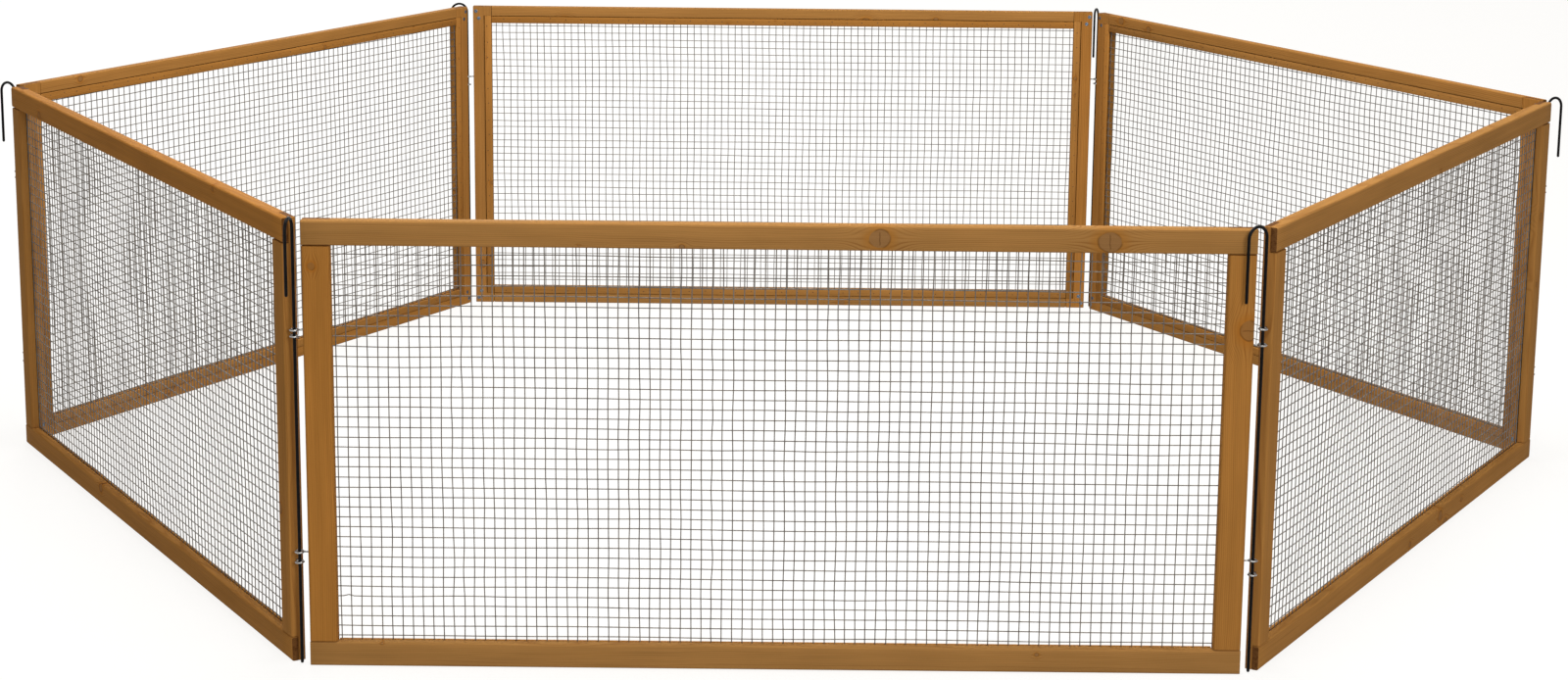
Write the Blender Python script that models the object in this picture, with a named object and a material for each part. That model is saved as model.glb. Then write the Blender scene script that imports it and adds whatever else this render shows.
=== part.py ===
"""Six-sided rabbit run: wood-framed wire-mesh panels joined by screw eyes and lift-out hooked rods.

Metres, +Z up. The origin is on the ground at the middle of the run, and the front panel faces -Y.
A panel is built in its own frame: X to the right as seen from outside, Y into the run, Z up, with
the origin on the ground at the middle of the panel's length and thickness.
"""

import math

import bmesh
import bpy
from mathutils import Matrix, Vector

# Panel frame
PANEL_WIDTH = 1.150
PANEL_HEIGHT = 0.562
BOARD_THICKNESS = 0.018
STILE_WIDTH = 0.034
RAIL_HEIGHT = 0.031
REBATE_WIDTH = 0.014
LIP_THICKNESS = 0.0115

# Wire mesh, drawn with wide cells: the real ones are 12.7 mm
MESH_THICKNESS = 0.0018
MESH_EDGE_IN_REBATE = 0.012
MESH_CELLS_ACROSS = 10
MESH_CELLS_UP = 5

# Corners: the rods stand on the hinge axes, a little past the ends of the panels
AXIS_PAST_PANEL = 0.0115
SIDES = 6
TURN = math.tau / SIDES

# Screw eyes
EYE_WIRE = 0.0024
EYE_RING_RADIUS = 0.005
EYE_SHANK_IN_WOOD = 0.015
EYE_LOOP_STEPS = 12
EYE_BEND = ((0.0020, 0.0002), (0.0006, 0.0008))
EYE_LOOP_FROM = math.radians(17)
EYE_LOOP_TO = math.radians(340)
EYE_ROUNDNESS = 1
HOLE_SIDES = 8

# Hooked rods
ROD_DIAMETER = 0.004
ROD_TOP = 0.5675
ROD_LEGS_APART = 0.029
ROD_SHORT_LEG_END = 0.472
ROD_TIP = 0.0005
ROD_ARC_STEPS = 10
ROD_ROUNDNESS = 2

# Gap between pieces that touch, and how far a cutter reaches past the wood
GAP = 0.0003
PAST = 0.002

# Panels in their order round the run, seen from above, anticlockwise
PANELS = ("front", "front_right", "rear_right", "rear", "rear_left", "front_left")

# Each panel is carried by the one before it. The ring stays open between rear_left and rear.
CARRIED_BY = {
    "front_right": "front",
    "rear_right": "front_right",
    "rear": "rear_right",
    "front_left": "front",
    "rear_left": "front_left",
}

# Corner: the panels on its left and right as seen from outside, the panel that carries its rod, and
# the heading of the rod's hook in degrees, anticlockwise from +X. Then, for the lower and the upper
# pair of eyes, the height of the pair and how far the right-hand panel's eye is above the other.
CORNERS = {
    "front_left": ("front_left", "front", "front", 262, ((0.138, 0.013), (0.421, 0.008))),
    "front_right": ("front", "front_right", "front", 214, ((0.136, -0.018), (0.428, 0.020))),
    "right": ("front_right", "rear_right", "rear_right", 32, ((0.137, 0.012), (0.425, -0.010))),
    "rear_right": ("rear_right", "rear", "rear", 98, ((0.138, -0.012), (0.432, 0.008))),
    "rear_left": ("rear", "rear_left", "rear_left", 180, ((0.137, 0.014), (0.422, -0.015))),
    "left": ("rear_left", "front_left", "rear_left", 148, ((0.136, -0.013), (0.424, 0.009))),
}

# Sizes that follow from these
MESH_SPACE = MESH_THICKNESS + 2 * GAP
GROOVE_OUTER = LIP_THICKNESS - BOARD_THICKNESS / 2
GROOVE_INNER = GROOVE_OUTER + MESH_SPACE
SIDE_LENGTH = PANEL_WIDTH + 2 * AXIS_PAST_PANEL
HALF_WIDTH = PANEL_WIDTH / 2
HALF_THICKNESS = BOARD_THICKNESS / 2
HOLE_RADIUS = (EYE_WIRE / 2 + GAP) / math.cos(math.pi / HOLE_SIDES)


def material(name, colour, roughness, metallic):
    """A Principled material of one colour."""
    made = bpy.data.materials.new(name)
    made.use_nodes = True
    shader = made.node_tree.nodes["Principled BSDF"]
    shader.inputs["Base Color"].default_value = (*colour, 1)
    shader.inputs["Roughness"].default_value = roughness
    shader.inputs["Metallic"].default_value = metallic
    made.diffuse_color = (*colour, 1)
    return made


def add_box(shape, low, high):
    """Adds the box between two opposite corners to a bmesh."""
    size = Vector(high) - Vector(low)
    place = Matrix.Translation((Vector(high) + Vector(low)) / 2) @ Matrix.Diagonal((*size, 1))
    bmesh.ops.create_cube(shape, size=1, matrix=place)


def add_bore(shape, start, length):
    """Adds a closed prism along +X to a bmesh: the hole for a screw eye's shank."""
    place = Matrix.Translation(Vector(start) + Vector((length / 2, 0, 0)))
    place @= Matrix.Rotation(math.pi / 2, 4, "Y")
    bmesh.ops.create_cone(
        shape,
        cap_ends=True,
        segments=HOLE_SIDES,
        radius1=HOLE_RADIUS,
        radius2=HOLE_RADIUS,
        depth=length,
        matrix=place,
    )


def object_from(name, shape, parent=None, finish=None):
    """Turns a bmesh into a named object, carried by parent."""
    mesh = bpy.data.meshes.new(name)
    shape.to_mesh(mesh)
    shape.free()
    if finish:
        mesh.materials.append(finish)
    made = bpy.data.objects.new(name, mesh)
    made.parent = parent
    bpy.context.collection.objects.link(made)
    return made


def board(name, parent, finish, low, high, cuts, bores=()):
    """One frame member: a plain board less the boxes and bores cut from it.

    The batten that holds the mesh is one piece with its board, with the mesh's groove between them.
    """
    blank = bmesh.new()
    add_box(blank, low, high)
    made = object_from(name, blank, parent, finish)
    waste = bmesh.new()
    for cut_low, cut_high in cuts:
        add_box(waste, cut_low, cut_high)
    for start, length in bores:
        add_bore(waste, start, length)
    cutter = object_from(name + "_cutter", waste, parent)
    cutter.hide_render = True
    cutter.display_type = "WIRE"
    cut = made.modifiers.new("laps, groove and holes", "BOOLEAN")
    cut.operation = "DIFFERENCE"
    cut.solver = "EXACT"
    cut.use_self = True
    cut.object = cutter
    return made


def rail(name, parent, finish, top):
    """A rail over the full width. Its inner half is cut back at both ends to lap over the stiles."""
    base = PANEL_HEIGHT - RAIL_HEIGHT if top else 0
    low = (-HALF_WIDTH, -HALF_THICKNESS, base)
    high = (HALF_WIDTH, HALF_THICKNESS, base + RAIL_HEIGHT)
    lap = STILE_WIDTH + GAP
    beyond = HALF_WIDTH + PAST
    below = base - PAST
    above = base + RAIL_HEIGHT + PAST
    cuts = []
    for left, right in ((-beyond, lap - HALF_WIDTH), (HALF_WIDTH - lap, beyond)):
        cuts.append(((left, -GAP / 2, below), (right, HALF_THICKNESS + PAST, above)))
    groove_low = below if top else RAIL_HEIGHT - REBATE_WIDTH
    groove_high = base + REBATE_WIDTH if top else above
    cuts.append(((-beyond, GROOVE_OUTER, groove_low), (beyond, GROOVE_INNER, groove_high)))
    return board(name, parent, finish, low, high, cuts)


def stile(name, parent, finish, side, eye_heights):
    """A stile over the full height. Its outer half is cut back at both ends, behind the rails."""
    outer_edge = side * HALF_WIDTH
    opening_edge = side * (HALF_WIDTH - STILE_WIDTH)
    low_x, high_x = sorted((outer_edge, opening_edge))
    lap = RAIL_HEIGHT + GAP
    cuts = []
    for base, top in ((-PAST, lap), (PANEL_HEIGHT - lap, PANEL_HEIGHT + PAST)):
        cuts.append(((low_x - PAST, -HALF_THICKNESS - PAST, base), (high_x + PAST, GAP / 2, top)))
    groove = sorted((opening_edge - side * PAST, opening_edge + side * REBATE_WIDTH))
    groove_end = RAIL_HEIGHT - REBATE_WIDTH
    groove_low = (groove[0], GROOVE_OUTER, groove_end)
    groove_high = (groove[1], GROOVE_INNER, PANEL_HEIGHT - groove_end)
    cuts.append((groove_low, groove_high))
    depth = EYE_SHANK_IN_WOOD + GAP
    start = low_x - PAST if side < 0 else high_x - depth
    bores = [((start, 0, height), depth + PAST) for height in eye_heights]
    return board(
        name,
        parent,
        finish,
        (low_x, -HALF_THICKNESS, 0),
        (high_x, HALF_THICKNESS, PANEL_HEIGHT),
        cuts,
        bores,
    )


def bar_edges(first, last, cells):
    """The two edges of each of the evenly spaced bars from first to last."""
    pitch = (last - first - MESH_THICKNESS) / cells
    return [first + n * pitch + side for n in range(cells + 1) for side in (0, MESH_THICKNESS)]


def wire_mesh(name, parent, finish):
    """The flat net, with its edge in the grooves: a grid of bars with open cells."""
    reach_x = HALF_WIDTH - STILE_WIDTH + MESH_EDGE_IN_REBATE
    low_z = RAIL_HEIGHT - MESH_EDGE_IN_REBATE
    xs = bar_edges(-reach_x, reach_x, MESH_CELLS_ACROSS)
    zs = bar_edges(low_z, PANEL_HEIGHT - low_z, MESH_CELLS_UP)
    outer_face = GROOVE_OUTER + GAP
    net = bmesh.new()
    points = [[net.verts.new((x, outer_face, z)) for x in xs] for z in zs]
    faces = []
    for row in range(len(zs) - 1):
        for column in range(len(xs) - 1):
            is_cell = row % 2 == 1 and column % 2 == 1
            if not is_cell:
                corners = (
                    points[row][column],
                    points[row][column + 1],
                    points[row + 1][column + 1],
                    points[row + 1][column],
                )
                faces.append(net.faces.new(corners))
    thick = bmesh.ops.extrude_face_region(net, geom=faces, use_keep_orig=True)
    moved = [item for item in thick["geom"] if isinstance(item, bmesh.types.BMVert)]
    bmesh.ops.translate(net, verts=moved, vec=(0, MESH_THICKNESS, 0))
    bmesh.ops.recalc_face_normals(net, faces=net.faces)
    return object_from(name, net, parent, finish)


def tube(name, points, diameter, roundness, finish, parent):
    """A round bar through the given points, with closed ends and 4 + 2 * roundness sides."""
    curve = bpy.data.curves.new(name, "CURVE")
    curve.dimensions = "3D"
    curve.bevel_depth = diameter / 2
    curve.bevel_resolution = roundness
    curve.use_fill_caps = True
    curve.materials.append(finish)
    spline = curve.splines.new("POLY")
    spline.points.add(len(points) - 1)
    for point, place in zip(spline.points, points):
        point.co = (*place, 1)
    spline.use_smooth = True
    made = bpy.data.objects.new(name, curve)
    made.parent = parent
    bpy.context.collection.objects.link(made)
    return made


def screw_eye(name, parent, finish, side, height):
    """A screw eye in the end of a panel: a level ring round the rod's axis on a straight shank."""
    shank_end = AXIS_PAST_PANEL + EYE_SHANK_IN_WOOD
    path = [(shank_end, 0)]
    path += [(EYE_RING_RADIUS + along, across) for along, across in EYE_BEND]
    for step in range(EYE_LOOP_STEPS + 1):
        angle = EYE_LOOP_FROM + (EYE_LOOP_TO - EYE_LOOP_FROM) * step / EYE_LOOP_STEPS
        path.append((EYE_RING_RADIUS * math.cos(angle), EYE_RING_RADIUS * math.sin(angle)))
    axis_x = side * SIDE_LENGTH / 2
    points = [(axis_x - side * along, across, height) for along, across in path]
    return tube(name, points, EYE_WIRE, EYE_ROUNDNESS, finish, parent)


def rod_points():
    """The rod's centre line in its own frame: long leg on Z, the hook's arc over towards +X."""
    radius = ROD_LEGS_APART / 2
    arc_base = ROD_TOP - ROD_DIAMETER / 2 - radius
    points = [(0, 0, ROD_TIP)]
    for step in range(ROD_ARC_STEPS + 1):
        angle = math.pi * (1 - step / ROD_ARC_STEPS)
        points.append((radius + radius * math.cos(angle), 0, arc_base + radius * math.sin(angle)))
    points.append((ROD_LEGS_APART, 0, ROD_SHORT_LEG_END))
    return points


def empty(name, parent, along, turn):
    """An empty that carries a panel, on its joint's axis: along the parent's X, then turned about Z."""
    made = bpy.data.objects.new(name, None)
    made.empty_display_size = 0.05
    made.parent = parent
    made.location.x = along
    made.rotation_euler.z = turn
    bpy.context.collection.objects.link(made)
    return made


def eye_heights(panel, side):
    """The heights of the eyes in the right (side 1) or left (side -1) end of a panel, lower first."""
    for left_panel, right_panel, _, _, pairs in CORNERS.values():
        if panel == (left_panel if side > 0 else right_panel):
            return [middle - side * step / 2 for middle, step in pairs]
    raise ValueError(panel + " meets no corner")


def build_panel(panel, carrier, offset, finishes):
    """All the pieces of one panel, in its own frame, moved by offset from the empty that carries it."""
    frame = empty(panel + "_panel_frame", carrier, offset, 0)
    rail(panel + "_panel_top_rail", frame, finishes["wood"], True)
    rail(panel + "_panel_bottom_rail", frame, finishes["wood"], False)
    wire_mesh(panel + "_panel_wire_mesh", frame, finishes["mesh"])
    for side_name, side in (("left", -1), ("right", 1)):
        heights = eye_heights(panel, side)
        stile(f"{panel}_panel_{side_name}_stile", frame, finishes["wood"], side, heights)
        for level, height in zip(("lower", "upper"), heights):
            name = f"{panel}_panel_{side_name}_{level}_eye"
            screw_eye(name, frame, finishes["zinc"], side, height)


def carry_panels():
    """The empties that carry the panels, on their hinge axes, and each panel's offset from its own.

    A panel on the left is hinged at its right end, and the others at their left end.
    """
    apothem = SIDE_LENGTH / 2 / math.tan(TURN / 2)
    front = empty("front_panel_body", None, 0, 0)
    front.location.y = -apothem
    carriers = {"front": front}
    offsets = {"front": 0}
    for panel, before in CARRIED_BY.items():
        side = -1 if "left" in panel else 1
        reach = offsets[before] + side * SIDE_LENGTH / 2
        carriers[panel] = empty(panel + "_panel_hinge", carriers[before], reach, side * TURN)
        offsets[panel] = side * SIDE_LENGTH / 2
    return carriers, offsets


def build():
    """The six panels, each carried by the one before it, and the six rods."""
    finishes = {
        "wood": material("stained softwood", (0.30, 0.14, 0.045), 0.6, 0),
        "mesh": material("galvanised wire", (0.30, 0.27, 0.25), 0.45, 0.8),
        "zinc": material("zinc-plated steel", (0.60, 0.62, 0.65), 0.35, 1),
        "rod": material("black painted steel", (0.015, 0.015, 0.018), 0.4, 0),
    }
    carriers, offsets = carry_panels()
    for panel in PANELS:
        build_panel(panel, carriers[panel], offsets[panel], finishes)
    for corner, (left_panel, _, panel, heading, _) in CORNERS.items():
        side = 1 if left_panel == panel else -1
        black = finishes["rod"]
        rod = tube("rod_" + corner, rod_points(), ROD_DIAMETER, ROD_ROUNDNESS, black, carriers[panel])
        rod.location.x = offsets[panel] + side * SIDE_LENGTH / 2
        rod.rotation_euler.z = math.radians(heading) - PANELS.index(panel) * TURN


for old in list(bpy.data.objects):
    bpy.data.objects.remove(old)
build()
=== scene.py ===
"""Looks of the six-sided rabbit run: stained softwood frames, welded wire mesh, screws, nails, screw
eyes and hooked rods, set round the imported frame.

A panel's pieces are worked out in the panel's own frame, in metres: x to the right as seen from
outside, y into the run, z up from the ground. A board has three coordinates of its own: along it,
across it from its outer edge to the opening, and depth from its outer face to its inner face.
"""

import math
from functools import partial

import bmesh
import bpy
import numpy as np
from mathutils import Matrix, Vector


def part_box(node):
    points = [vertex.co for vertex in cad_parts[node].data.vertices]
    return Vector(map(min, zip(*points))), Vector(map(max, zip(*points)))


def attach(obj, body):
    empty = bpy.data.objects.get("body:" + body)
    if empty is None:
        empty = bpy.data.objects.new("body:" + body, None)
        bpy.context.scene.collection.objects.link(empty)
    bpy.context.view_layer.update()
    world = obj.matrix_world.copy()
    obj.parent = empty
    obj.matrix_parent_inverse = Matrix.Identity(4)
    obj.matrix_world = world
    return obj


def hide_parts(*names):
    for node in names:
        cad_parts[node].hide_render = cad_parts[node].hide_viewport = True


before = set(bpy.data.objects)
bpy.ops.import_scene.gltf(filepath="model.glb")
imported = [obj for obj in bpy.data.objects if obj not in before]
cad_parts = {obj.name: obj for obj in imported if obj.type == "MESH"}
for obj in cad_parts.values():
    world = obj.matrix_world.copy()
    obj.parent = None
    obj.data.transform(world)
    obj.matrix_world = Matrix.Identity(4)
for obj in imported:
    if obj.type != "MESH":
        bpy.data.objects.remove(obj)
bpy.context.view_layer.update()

bl_info = {
    "name": "Rabbit run",
    "version": (1, 0, 0),
    "blender": (4, 5, 0),
    "location": "3D View > Sidebar > Rabbit run",
    "description": "Makes the wood, wire and fittings of a six-sided rabbit run",
    "category": "Object",
}

MM = 0.001

# Points nearer than this, in metres, are one point
SAME_PLACE = 1e-6

# Panels anticlockwise from the front, and the corner after each of them
PANELS = ("front", "front_right", "rear_right", "rear", "rear_left", "front_left")
CORNERS = ("front_right", "right", "rear_right", "rear_left", "left", "front_left")
TURN = math.tau / len(PANELS)
SIDES = {"left": -1, "right": 1}

# Sizes of the frame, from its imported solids
rail_low, rail_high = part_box("front_panel_bottom_rail")
stile_low, stile_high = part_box("front_panel_left_stile")
rod_low, rod_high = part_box("rod_front_left")
HALF_WIDTH = (rail_high.x - rail_low.x) / 2
PANEL_HEIGHT = stile_high.z - stile_low.z
RAIL_HEIGHT = rail_high.z - rail_low.z
STILE_WIDTH = stile_high.x - stile_low.x
THICKNESS = rail_high.y - rail_low.y
APOTHEM = -(rail_high.y + rail_low.y) / 2
SIDE_LENGTH = 2 * APOTHEM * math.tan(TURN / 2)
ROD_BOTTOM = rod_low.z
ROD_TOP = rod_high.z

# Joints between the boards
LAP_GAP = 0.3 * MM
SHOULDER_GAP = 0.9 * MM
REBATE_WIDTH = 14 * MM
LIP_DEPTH = 2.35 * MM
NET_DEPTH = 3.7 * MM
BATTEN_DEPTH = 5.05 * MM
BATTEN_GAPS = {"top": 1.4 * MM, "bottom": 0.6 * MM, "left": 1.4 * MM, "right": 1.4 * MM}
END_EASING = 0.6 * MM

# Welded mesh: how far it reaches behind the boards, its first wires inside the opening at its lower
# left corner, and how far its wires' middles stand from its mid-plane, as a share of a wire
NET_REACH = 12 * MM
NET_HALF_WIDTH = HALF_WIDTH - STILE_WIDTH + NET_REACH
NET_BOTTOM = RAIL_HEIGHT - NET_REACH
NET_TOP = PANEL_HEIGHT - NET_BOTTOM
FIRST_UPRIGHT = 4 * MM
FIRST_LEVEL = 5.2 * MM
WELDED_SHARE = 0.47

# Waves of its upright and level wires, in metres, and those that all wires of a kind share
UPRIGHT_WAVE = 0.5
LEVEL_WAVE = 1.0
SHARED_WAVES = {"waves": 4, "shortest": 0.2, "longest": 1.0}
BULGE_WAVES = 4

# One level wire of the front net, counted from the lowest, is bent up a little near its left end
KINKED_WIRE = 5
KINK_PLACE = -528 * MM
KINK_WIDTH = 4 * MM
KINK_HEIGHT = 1.8 * MM

# Screws: across from the panel's end and along from its top or bottom, how far a head is crowned, and
# the number of profile rows in its crown
SCREW_PLACES = ((5.5 * MM, 9 * MM), (10.5 * MM, 22 * MM))
CROWN_HEIGHT = 0.55 * MM
HEAD_ROWS = 12

# Nails: from the panel's end to the first one of a level row, how far a row may run over, and how far
# a nail strays from its row
NAIL_FROM_END = 50 * MM
NAIL_ROW_SPARE = 5 * MM
NAIL_STRAY = 0.9 * MM

# Screw eyes: the most that one is turned in its hole, in degrees, and the depth of its thread as a
# share of its wire's radius
EYE_TILT = 7
THREAD_DEPTH = 0.3

# Numbers that fix the random draws of each kind of piece, beside the panel's own number
BOARD_SEEDS = {"top_rail": (8, 1), "bottom_rail": (11, 0), "left_stile": (10, 1), "right_stile": (11, 0)}
BATTEN_SEED = 7
NET_SEED = 11
BULGE_SEED = 12
NAIL_SEED = 21
EYE_SEED = 31

# Random knots keep this far from a board's ends, and are smaller on boards narrower than this. A
# board without knots has one ten metres away.
KNOT_FROM_END = 30 * MM
NARROW_BOARD = 30 * MM
FAR_KNOT = (10.0, 0.0, 0.0)

# How far a tree's pith line lies aside of a board's outer edge, least and most, and before or behind
# its middle, in metres
PITH_ASIDE = (0.03, 0.09)
PITH_DEPTH = 0.03

# Knots of the front boards: along from the middle (from the ground on a stile), across from the
# outer edge, and radius, in millimetres
FRONT_KNOTS = {
    "top_rail": ((-241, 27.5, 1.5), (-117, 28, 3.2), (121, 16, 11.5), (397, 17, 13)),
    "bottom_rail": ((-486, 29.5, 1.4), (323, 23.5, 2.4)),
    "left_stile": ((506, 12, 4.4),),
    "right_stile": ((437, 6.5, 11.5),),
}

# Tones of the boards that show most, from -1, browner and a little darker, to 1, brighter and more
# orange. These listed tones are partly the boards' own stain and partly painted light and shade, set
# so that each board shows about as bright as it should under these lamps: the front rails' darker
# tone is partly painted shade. The other boards' tones are random.
BOARD_TONES_AND_PAINTED_LIGHT = {
    "front_top_rail": -1.0,
    "front_bottom_rail": -1.0,
    "front_left_stile": 0.5,
    "front_right_stile": 0.2,
    "front_right_top_rail": -0.7,
    "front_right_left_stile": -0.3,
    "front_left_top_rail": 0.4,
    "rear_top_rail": -0.5,
    "rear_bottom_rail": -0.8,
    "rear_left_top_rail": -0.2,
    "rear_right_top_rail": -0.2,
}


def linear(hex_colour):
    """The linear red, green, blue and alpha of an sRGB hex colour."""
    parts = (int(hex_colour[start : start + 2], 16) / 255 for start in (1, 3, 5))
    return (*((c / 12.92 if c <= 0.04045 else ((c + 0.055) / 1.055) ** 2.4) for c in parts), 1.0)


def size_property(name, description, default, low, high):
    """A length that the user can change, in metres."""
    return bpy.props.FloatProperty(
        name=name,
        description=description,
        default=default,
        min=low,
        max=high,
        precision=4,
        subtype="DISTANCE",
        unit="LENGTH",
    )


def power_property(name, description, default):
    """A lamp's power that the user can change, in watts."""
    return bpy.props.FloatProperty(
        name=name,
        description=description,
        default=default,
        min=0,
        max=1000,
        unit="POWER",
    )


def colour_property(name, description, default):
    """A colour that the user can change."""
    return bpy.props.FloatVectorProperty(
        name=name,
        description=description,
        default=linear(default),
        min=0,
        max=1,
        size=4,
        subtype="COLOR",
    )


class WoodSettings(bpy.types.PropertyGroup):
    """Sizes and colours of the stained softwood."""

    outer_rounding: size_property(
        "Outer rounding", "Radius of the long edges on a board's outer face", 3.2 * MM, 0.0005, 0.004
    )
    inner_rounding: size_property(
        "Inner rounding", "Radius of the long edge on a board's inner face", 1.4 * MM, 0.0003, 0.003
    )
    batten_rounding: size_property(
        "Batten rounding", "Radius of a batten's long edges", 1.2 * MM, 0.0002, 0.002
    )
    ring_spacing: size_property("Ring spacing", "Width of one year's growth", 2.4 * MM, 0.001, 0.008)
    early_colour: colour_property("Early wood", "Stained wood between the grain lines", "#b78041")
    late_colour: colour_property("Late wood", "Stained wood in the grain lines", "#925c28")
    knot_colour: colour_property("Knot", "Heart of a knot", "#a57440")
    halo_colour: colour_property("Knot halo", "Resin-stained wood round a knot", "#b3732d")
    rim_colour: colour_property("Knot rim", "Bark round a knot, and its crack", "#5a3517")
    end_colour: colour_property("End grain", "Sawn ends, where the stain soaks in", "#7c522b")


class MeshSettings(bpy.types.PropertyGroup):
    """Sizes and colours of the welded wire mesh."""

    cell: size_property("Cell", "Spacing of the wires", 12.7 * MM, 0.006, 0.05)
    wire: size_property("Wire", "Diameter of a wire", 1.38 * MM, 0.0005, 0.002)
    waviness: size_property("Waviness", "How far a wire strays from straight", 0.25 * MM, 0, 0.002)
    bulge: size_property("Bulge", "How far the net stands out of its plane", 1.2 * MM, 0, 0.004)
    colour: colour_property("Colour", "Dull zinc of the wires", "#7d756b")
    dark_colour: colour_property("Dark colour", "Zinc that has dulled more", "#605850")


class FittingSettings(bpy.types.PropertyGroup):
    """Sizes and colours of the screw eyes, screws, nails and rods."""

    eye_wire: size_property("Eye wire", "Diameter of an eye's wire", 2.4 * MM, 0.0015, 0.003)
    eye_ring: size_property("Eye ring", "Radius of an eye's ring, at mid-wire", 5 * MM, 0.004, 0.006)
    eye_depth: size_property("Eye depth", "Length of an eye's thread in the wood", 15 * MM, 0.008, 0.015)
    thread_pitch: size_property("Thread pitch", "Spacing of an eye's thread", 1.4 * MM, 0.0008, 0.002)
    screw_head: size_property("Screw head", "Diameter of a frame screw's head", 6.6 * MM, 0.004, 0.008)
    nail_head: size_property("Nail head", "Diameter of a batten nail's head", 2.0 * MM, 0.001, 0.003)
    nail_spacing: size_property("Nail spacing", "Distance between two batten nails", 29 * MM, 0.015, 0.1)
    rod_wire: size_property("Rod", "Diameter of a rod", 4 * MM, 0.004, 0.006)
    rod_legs: size_property("Rod legs", "Distance between a rod's two legs", 28.9 * MM, 0.02, 0.03)
    rod_short_leg: size_property("Short leg", "Height of the short leg's end", 472 * MM, 0.4, 0.5)
    zinc_colour: colour_property("Zinc", "Bright zinc plating", "#a9a8a5")
    screw_colour: colour_property("Screws", "Blue-tinted zinc plating of the screws", "#727e8c")
    nail_colour: colour_property("Nail", "Nail heads under the stain", "#6b4c2e")
    rod_colour: colour_property("Paint", "Black paint of the rods", "#0b0b0b")


class StageSettings(bpy.types.PropertyGroup):
    """The camera, the lamps and the floor."""

    lens: bpy.props.FloatProperty(
        name="Lens",
        description="Focal length on a 36 mm wide sensor",
        default=69.55,
        min=20,
        max=200,
        subtype="DISTANCE_CAMERA",
    )
    overhead: power_property("Overhead lamp", "Power of the soft lamp above the run", 118)
    right: power_property("Right lamp", "Power of the soft lamp right of the camera", 124)
    left: power_property("Left lamp", "Power of the soft lamp left of the camera", 26)
    front: power_property("Front lamp", "Power of the soft lamp behind the camera", 34)
    back: power_property("Back lamp", "Power of the soft lamp behind the run", 100)
    floor_colour: colour_property("Floor", "Pale studio floor", "#f2f1ef")


def rounded_outline(corners, radii, steps=4):
    """A closed outline. Each right-angled corner with a radius r becomes a quarter circle about the
    point r inside both edges: centre - r (ahead cos t + back sin t), for t from 0 to a right angle."""
    corners = np.array(corners, float)
    turn = np.linspace(0, math.pi / 2, steps + 1)[:, None]
    pieces = []
    for index, radius in enumerate(radii):
        corner = corners[index]
        back = corners[index - 1] - corner
        ahead = corners[(index + 1) % len(corners)] - corner
        back /= np.linalg.norm(back)
        ahead /= np.linalg.norm(ahead)
        if radius > 0:
            centre = corner + radius * (back + ahead)
            pieces.append(centre - radius * (ahead * np.cos(turn) + back * np.sin(turn)))
        else:
            pieces.append(corner[None, :])
    return np.concatenate(pieces)


def tube_faces(rows, ring):
    """The quads of a closed tube of rows of ring points each, and the two flat ends that shut it."""
    start = np.arange(rows - 1)[:, None] * ring
    here = np.arange(ring)[None, :]
    after = (here + 1) % ring
    above = start + ring
    corners = np.broadcast_arrays(start + here, start + after, above + after, above + here)
    ends = [list(range(ring))[::-1], list(range((rows - 1) * ring, rows * ring))]
    return np.stack(corners, axis=-1).reshape(-1, 4).tolist() + ends


def repeated_faces(faces, size, count):
    """The faces of count copies of a shape with size points."""
    return [[corner + copy * size for corner in face] for copy in range(count) for face in faces]


def sweep(path, normal, radius, sides):
    """A round bar along a flat path. Point (i, k) is path[i] + radius (cos a_k side_i + sin a_k normal),
    where side_i lies in the path's plane, square to its run. The radius may differ between points."""
    path = np.asarray(path, float)
    run = np.gradient(path, axis=0)
    run /= np.linalg.norm(run, axis=1, keepdims=True)
    side = np.cross(run, normal)
    angle = np.linspace(0, math.tau, sides, endpoint=False)
    radius = np.broadcast_to(np.asarray(radius, float).reshape(len(path), -1), (len(path), sides))
    reach = radius[..., None]
    cosine, sine = np.cos(angle)[None, :, None], np.sin(angle)[None, :, None]
    ring = cosine * side[:, None, :] + sine * np.asarray(normal)
    return (path[:, None, :] + reach * ring).reshape(-1, 3)


def from_panel(points, panel):
    """Panel frame to row frame: moved out to the front panel's place, then turned about Z."""
    heading = PANELS.index(panel) * TURN
    x, y, z = np.asarray(points, float).T
    y = y - APOTHEM
    turned_x = x * math.cos(heading) - y * math.sin(heading)
    turned_y = x * math.sin(heading) + y * math.cos(heading)
    return np.stack((turned_x, turned_y, z), axis=1)


def make_mesh(name, points, faces, place=None):
    """A mesh of the given points and faces. place is stored as each point's board coordinates."""
    mesh = bpy.data.meshes.new(name)
    mesh.from_pydata(np.asarray(points).tolist(), [], faces)
    if place is not None:
        stored = mesh.attributes.new("board_place", "FLOAT_VECTOR", "POINT")
        stored.data.foreach_set("vector", np.asarray(place, np.float32).ravel())
    return mesh


def tidy_mesh(mesh, flat_at=()):
    """Merges doubled points, joins the faces of each shoulder into one, and turns all faces outwards.

    flat_at holds the shoulders' places along the board."""
    shape = bmesh.new()
    shape.from_mesh(mesh)
    bmesh.ops.remove_doubles(shape, verts=shape.verts, dist=SAME_PLACE)
    if flat_at:
        layer = shape.verts.layers.float_vector["board_place"]
        for along in flat_at:
            there = {point for point in shape.verts if abs(point[layer].x - along) < SAME_PLACE}
            group = [face for face in shape.faces if there.issuperset(face.verts)]
            bmesh.ops.dissolve_faces(shape, faces=group)
    bmesh.ops.recalc_face_normals(shape, faces=shape.faces)
    shape.to_mesh(mesh)
    shape.free()


def make_piece(mesh, finish, body, nodes=(), smooth_below=40):
    """An object of the mesh's name and one finish, which rides on a body and stands for CAD nodes."""
    mesh.materials.append(finish_for(finish))
    mesh.shade_smooth()
    mesh.set_sharp_from_angle(angle=math.radians(smooth_below))
    piece = bpy.data.objects.new(mesh.name, mesh)
    bpy.context.scene.collection.objects.link(piece)
    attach(piece, body)
    if nodes:
        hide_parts(*nodes)


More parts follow.
